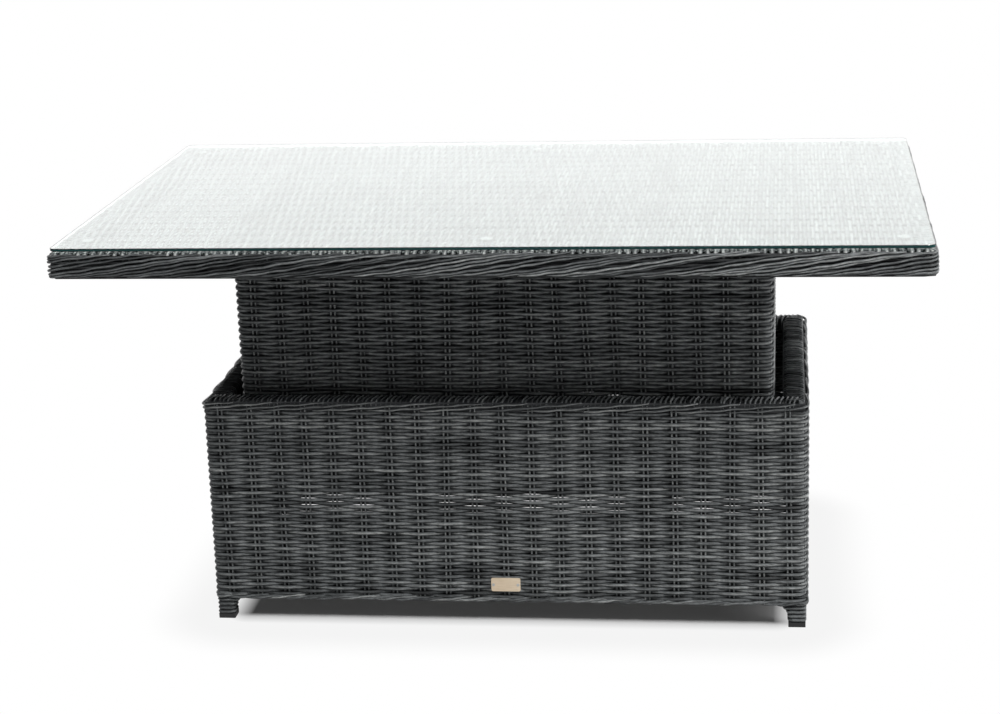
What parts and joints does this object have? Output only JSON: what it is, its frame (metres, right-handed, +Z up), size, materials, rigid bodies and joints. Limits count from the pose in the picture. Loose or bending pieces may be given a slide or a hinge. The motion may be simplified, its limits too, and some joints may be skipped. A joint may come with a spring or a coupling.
{
  "type": "convertible coffee dining table",
  "caption": "Rectangular wicker table with a glass top whose woven skirt telescopes into a woven base, lifting it from coffee height to dining height.",
  "frame": {"origin": "on the floor, under the middle of the table top", "axes": "+X to the table's right along its length, +Y to its rear, +Z up"},
  "size_m": [1.412, 0.904, 0.7],
  "materials": {
    "wicker": "polyethylene strands in mixed anthracite greys, satin",
    "frame_aluminium": "dark grey powder coat",
    "foot_plastic": "moulded",
    "plate_metal": "champagne, satin, blank",
    "fastener_steel": "zinc plated",
    "column_steel": "black powder coat",
    "nylon": "natural nylon",
    "cylinder_paint": "black enamel",
    "rod_chrome": "hard chrome",
    "glass": "clear tempered",
    "clear_rubber": "clear silicone",
    "shaft_steel": "bright drawn",
    "paddle_plastic": "moulded, fine grain"
  },
  "bodies": {
    "base": {"base_bearer_left": "frame_aluminium", "base_bearer_right": "frame_aluminium", "base_bottom_rails": "frame_aluminium", "base_post_front_left": "frame_aluminium", "base_post_front_right": "frame_aluminium", "base_post_rear_left": "frame_aluminium", "base_post_rear_right": "frame_aluminium", "base_rim_wrap_front": "wicker", "base_rim_wrap_left": "wicker", "base_rim_wrap_rear": "wicker", "base_rim_wrap_right": "wicker", "base_top_rails": "frame_aluminium", "base_weave_front": "wicker", "base_weave_left": "wicker", "base_weave_rear": "wicker", "base_weave_right": "wicker", "column_bolts": "fastener_steel", "column_bush_left": "nylon", "column_bush_right": "nylon", "column_outer_tube_left": "column_steel", "column_outer_tube_right": "column_steel", "foot_cap_front_left": "foot_plastic", "foot_cap_front_right": "foot_plastic", "foot_cap_rear_left": "foot_plastic", "foot_cap_rear_right": "foot_plastic", "gas_cylinder_left": "cylinder_paint", "gas_cylinder_right": "cylinder_paint", "leg_wraps": "wicker", "name_plate": "plate_metal", "plate_rivets": "fastener_steel"},
    "top": {"column_inner_tube_left": "column_steel", "column_inner_tube_right": "column_steel", "gas_rod_left": "rod_chrome", "gas_rod_right": "rod_chrome", "glass_pads": "clear_rubber", "glass_top": "glass", "head_bolts": "fastener_steel", "shaft_bush": "nylon", "skirt_posts": "frame_aluminium", "skirt_rails": "frame_aluminium", "skirt_weave_front": "wicker", "skirt_weave_left": "wicker", "skirt_weave_rear": "wicker", "skirt_weave_right": "wicker", "top_bearers": "frame_aluminium", "top_cross_member_left": "frame_aluminium", "top_cross_member_right": "frame_aluminium", "top_frame_front": "frame_aluminium", "top_frame_left": "frame_aluminium", "top_frame_rear": "frame_aluminium", "top_frame_right": "frame_aluminium", "top_rim_front": "wicker", "top_rim_left": "wicker", "top_rim_rear": "wicker", "top_rim_right": "wicker", "top_weave": "wicker"},
    "release": {"release_shaft": "shaft_steel", "release_paddle": "paddle_plastic"},
    "valve_left": {"valve_pin_left": "fastener_steel"},
    "valve_right": {"valve_pin_right": "fastener_steel"}
  },
  "joints": [
    {"name": "table_lift", "type": "slide", "parent": "base", "child": "top", "axis": [0, 0, 1], "range_m": [-0.25, 0]},
    {"name": "release_turn", "type": "hinge", "parent": "top", "child": "release", "pos_m": [0, 0.022, 0.673], "axis": [1, 0, 0], "range_deg": [0, 9], "stiffness_Nm_per_rad": 2, "springref_deg": -8.59},
    {"name": "valve_left_press", "type": "slide", "parent": "top", "child": "valve_left", "axis": [0, 0, 1], "range_m": [-0.0041, 0]},
    {"name": "valve_right_press", "type": "slide", "parent": "top", "child": "valve_right", "axis": [0, 0, 1], "range_m": [-0.0041, 0]}
  ],
  "couplings": [
    {"joint": "valve_left_press", "follows": "release_turn", "m_per_rad": -0.025465},
    {"joint": "valve_right_press", "follows": "release_turn", "m_per_rad": -0.025465}
  ]
}
